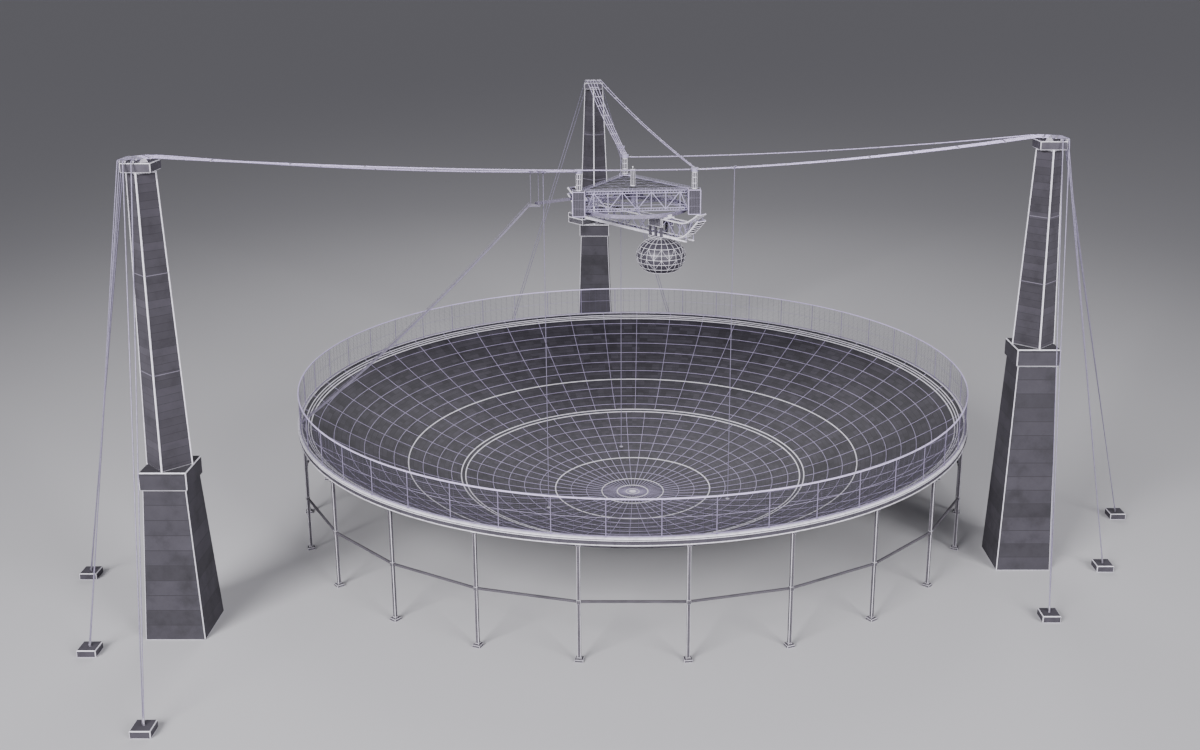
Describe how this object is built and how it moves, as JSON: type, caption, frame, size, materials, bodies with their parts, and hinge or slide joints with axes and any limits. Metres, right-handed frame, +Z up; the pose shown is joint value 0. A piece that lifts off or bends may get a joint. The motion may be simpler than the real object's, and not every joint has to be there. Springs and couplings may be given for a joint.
{
  "type": "radio telescope dish, 1:20 scale model",
  "caption": "Fixed spherical radio dish in a rim frame under a triangular platform hung on cables between masonry towers, with a turning arm, feed house and dome.",
  "frame": {"origin": "on the floor under the bowl's lowest point, on the bowl's vertical axis", "axes": "+Z up along the bowl's axis; +Y away from the viewer, towards the back tower; +X to the viewer's right"},
  "size_m": [23.0152, 21.5923, 9.1575],
  "materials": {
    "reflector": "perforated panels, weathered dark",
    "concrete": "cast concrete, matt",
    "foundation": "cast concrete, rough",
    "tower": "cast concrete, matt",
    "screen": "galvanised",
    "cable": "galvanised strand",
    "truss": "satin paint",
    "house": "satin paint",
    "dome": "satin paint over metal panels"
  },
  "bodies": {
    "structure": {"reflector_centre": "reflector", "reflector_quarter_1": "reflector", "reflector_quarter_2": "reflector", "reflector_quarter_3": "reflector", "reflector_quarter_4": "reflector", "centre_pad": "concrete", "rim_frame_quarter_1": "concrete", "rim_frame_quarter_2": "concrete", "rim_frame_quarter_3": "concrete", "rim_frame_quarter_4": "concrete", "ground_screen_right": "screen", "ground_screen_left": "screen", "tower_foundation_left": "foundation", "tower_shaft_left": "tower", "tower_cap_left": "tower", "main_cables_left": "cable", "cross_cables_left": "cable", "anchor_left_1": "foundation", "backstay_left_1": "cable", "anchor_left_2": "foundation", "backstay_left_2": "cable", "anchor_left_3": "foundation", "backstay_left_3": "cable", "tower_foundation_right": "foundation", "tower_shaft_right": "tower", "tower_cap_right": "tower", "main_cables_right": "cable", "cross_cables_right": "cable", "anchor_right_1": "foundation", "backstay_right_1": "cable", "anchor_right_2": "foundation", "backstay_right_2": "cable", "anchor_right_3": "foundation", "backstay_right_3": "cable", "tower_foundation_back": "foundation", "tower_shaft_back": "tower", "tower_cap_back": "tower", "main_cables_back": "cable", "cross_cables_back": "cable", "anchor_back_1": "foundation", "backstay_back_1": "cable", "anchor_back_2": "foundation", "backstay_back_2": "cable", "anchor_back_3": "foundation", "backstay_back_3": "cable", "corner_house_back": "house", "corner_house_left": "house", "corner_house_right": "house", "platform_truss": "truss", "azimuth_track": "truss", "tie_down_left": "cable", "tie_down_right": "cable", "tie_down_back": "cable", "catwalk": "truss"},
    "arm": {"azimuth_arm": "truss", "azimuth_truck_1": "house", "azimuth_truck_2": "house"},
    "feed_house": {"feed_carriage": "house"},
    "dome": {"dome_carriage": "house", "dome_shell": "dome"}
  },
  "joints": [
    {"name": "azimuth_turn", "type": "hinge", "parent": "structure", "child": "arm", "pos_m": [0, 0, 7], "axis": [0, 0, 1], "continuous": true},
    {"name": "feed_slide", "type": "slide", "parent": "arm", "child": "feed_house", "axis": [0.6428, -0.766, 0], "range_m": [0, 1.16]},
    {"name": "dome_slide", "type": "slide", "parent": "arm", "child": "dome", "axis": [0.6428, -0.766, 0], "range_m": [-0.86, 0.715]}
  ]
}
